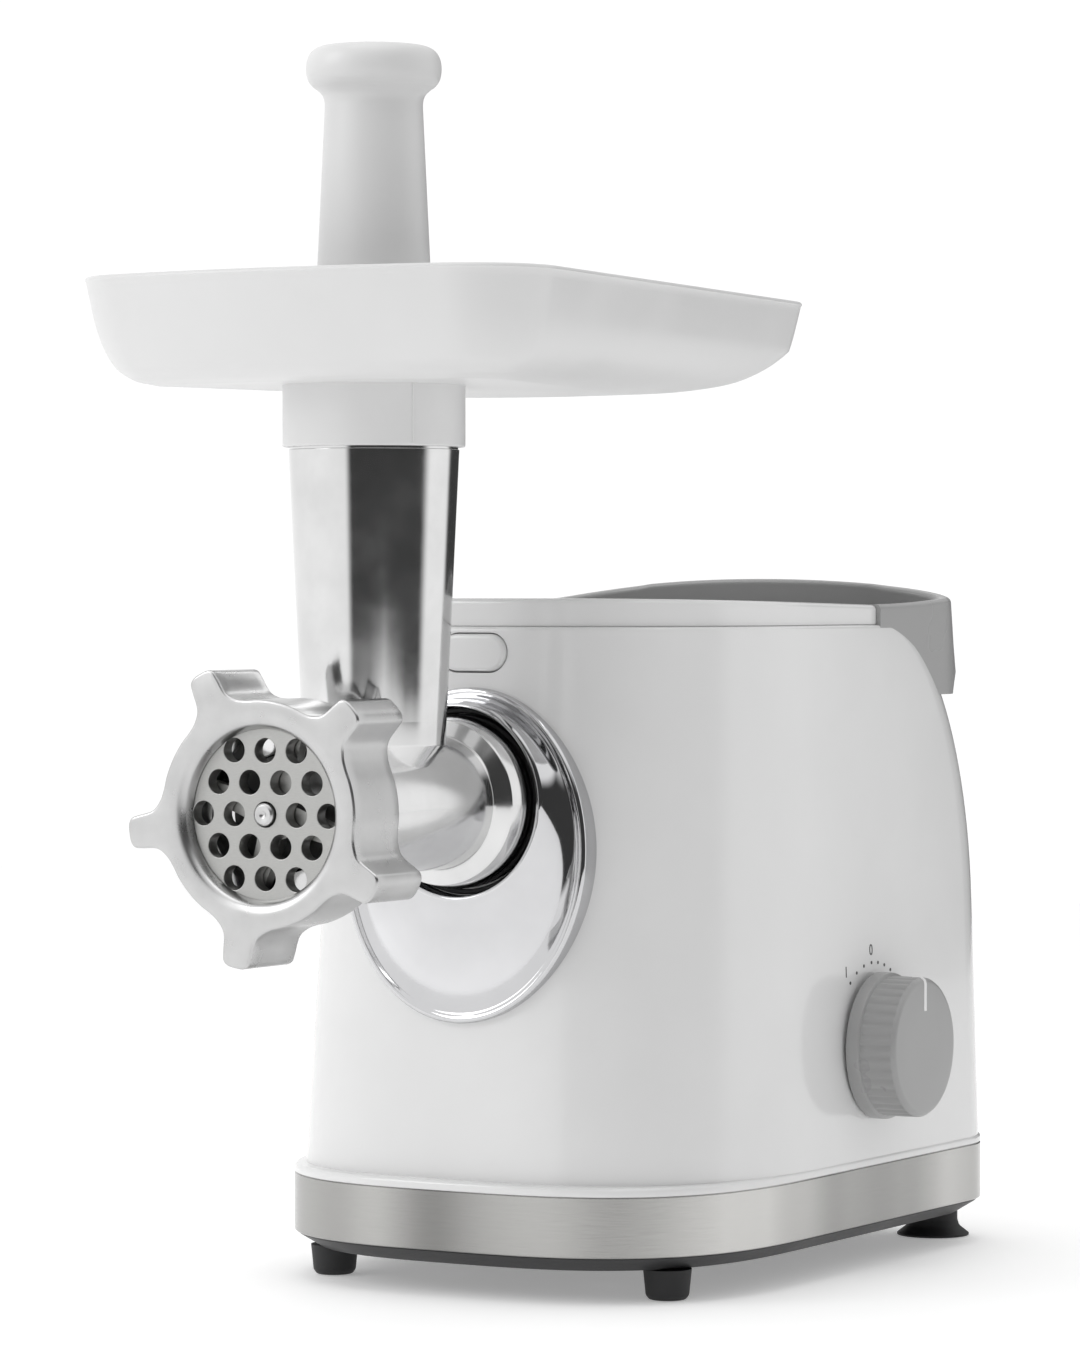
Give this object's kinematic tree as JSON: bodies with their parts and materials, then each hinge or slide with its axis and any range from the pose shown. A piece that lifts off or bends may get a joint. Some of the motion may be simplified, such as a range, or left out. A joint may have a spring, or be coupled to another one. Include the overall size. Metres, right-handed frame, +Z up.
{
  "type": "electric meat grinder",
  "caption": "Electric meat grinder: white tapered body on a steel-banded base, bayonet head with auger, cutting disc and ring nut, food tray and pusher.",
  "frame": {"origin": "bottom centre of the bounding box, on the table under the middle of the whole object", "axes": "+Z up; the grinder head faces -Y; +X is the control knob's side"},
  "size_m": [0.2024, 0.378, 0.4242],
  "materials": {
    "white_plastic": "smooth, glossy",
    "soft_white_plastic": "fine satin",
    "grey_plastic": "satin",
    "black_plastic": "satin",
    "rubber": "matt",
    "brushed_steel": "brushed along the band",
    "chrome": "polished",
    "cast_aluminium": "polished casting",
    "gearbox_aluminium": "die cast",
    "blade_steel": "ground",
    "machined_steel": "turned",
    "gear_nylon": "moulded",
    "copper": "enamelled wire",
    "brass": "turned",
    "laminate": "stacked laminations",
    "carbon": "pressed",
    "board": "coated laminate"
  },
  "bodies": {
    "housing": {"body_shell": "white_plastic", "rear_cover": "white_plastic", "top_cover": "white_plastic", "carry_handle": "grey_plastic", "base_plate": "black_plastic", "bayonet_socket": "black_plastic", "rotary_switch": "black_plastic", "front_foot_left": "rubber", "front_foot_right": "rubber", "suction_foot_left": "rubber", "suction_foot_right": "rubber", "collar_seal": "rubber", "cord_inlet": "rubber", "motor_cradle": "rubber", "trim_band": "brushed_steel", "chrome_flange": "chrome", "gearbox_case": "gearbox_aluminium", "gearbox_cover": "gearbox_aluminium", "motor_rear_plate": "gearbox_aluminium", "gear_axle_a": "machined_steel", "gear_axle_b": "machined_steel", "front_bearing": "machined_steel", "rear_bearing": "machined_steel", "motor_tie_left": "machined_steel", "motor_tie_right": "machined_steel", "gearbox_screw_1": "machined_steel", "gearbox_screw_2": "machined_steel", "base_screw_1": "machined_steel", "base_screw_2": "machined_steel", "base_screw_3": "machined_steel", "base_screw_4": "machined_steel", "button_spring": "machined_steel", "field_coil_upper": "copper", "field_coil_lower": "copper", "output_bearing": "brass", "motor_stator": "laminate", "motor_can": "laminate", "carbon_brush_left": "carbon", "carbon_brush_right": "carbon", "control_board": "board"},
    "output": {"output_gear": "gear_nylon", "output_shaft": "machined_steel", "auger_coupling": "black_plastic", "auger": "cast_aluminium", "cross_knife": "blade_steel"},
    "lay_a": {"lay_gear_a": "gear_nylon"},
    "lay_b": {"lay_gear_b": "gear_nylon"},
    "rotor": {"rotor_shaft": "machined_steel", "rotor_core": "laminate", "commutator": "copper", "motor_fan": "gear_nylon"},
    "head": {"grinder_head": "cast_aluminium", "cutting_disc": "blade_steel"},
    "ring": {"ring_nut": "cast_aluminium"},
    "tray": {"food_tray": "soft_white_plastic"},
    "pusher": {"food_pusher": "soft_white_plastic"},
    "knob": {"control_knob": "grey_plastic", "knob_spindle": "brass"},
    "button": {"release_button": "white_plastic", "latch_bar": "black_plastic"}
  },
  "joints": [
    {"name": "auger_turn", "type": "hinge", "parent": "housing", "child": "output", "pos_m": [-0.00922, -0.036, 0.17], "axis": [0, 1, 0], "continuous": true},
    {"name": "lay_a_turn", "type": "hinge", "parent": "housing", "child": "lay_a", "pos_m": [0.02048, -0.006, 0.1403], "axis": [0, 1, 0], "continuous": true},
    {"name": "lay_b_turn", "type": "hinge", "parent": "housing", "child": "lay_b", "pos_m": [-0.01159, -0.006, 0.12236], "axis": [0, 1, 0], "continuous": true},
    {"name": "rotor_turn", "type": "hinge", "parent": "housing", "child": "rotor", "pos_m": [-0.00922, 0.054, 0.08794], "axis": [0, 1, 0], "continuous": true},
    {"name": "head_bayonet", "type": "hinge", "parent": "housing", "child": "head", "pos_m": [-0.00922, -0.056, 0.17], "axis": [0, -1, 0], "range_deg": [0, 30]},
    {"name": "ring_unscrew", "type": "hinge", "parent": "head", "child": "ring", "pos_m": [-0.00922, -0.176, 0.17], "axis": [0, -1, 0], "range_deg": [0, 360]},
    {"name": "tray_lift", "type": "slide", "parent": "head", "child": "tray", "axis": [0, 0, 1], "range_m": [0, 0.14]},
    {"name": "pusher_lift", "type": "slide", "parent": "head", "child": "pusher", "axis": [0, 0, 1], "range_m": [0, 0.18]},
    {"name": "knob_turn", "type": "hinge", "parent": "housing", "child": "knob", "pos_m": [0.09078, 0.077, 0.0795], "axis": [1, 0, 0], "range_deg": [-45, 45]},
    {"name": "button_press", "type": "slide", "parent": "housing", "child": "button", "axis": [0, 1, 0], "range_m": [0, 0.004], "stiffness_N_per_m": 800, "springref_m": -0.001, "deforming": ["button_spring"]}
  ],
  "couplings": [
    {"joint": "lay_a_turn", "follows": "auger_turn", "ratio": -3},
    {"joint": "lay_b_turn", "follows": "auger_turn", "ratio": 9.6},
    {"joint": "rotor_turn", "follows": "auger_turn", "ratio": -34.56}
  ]
}
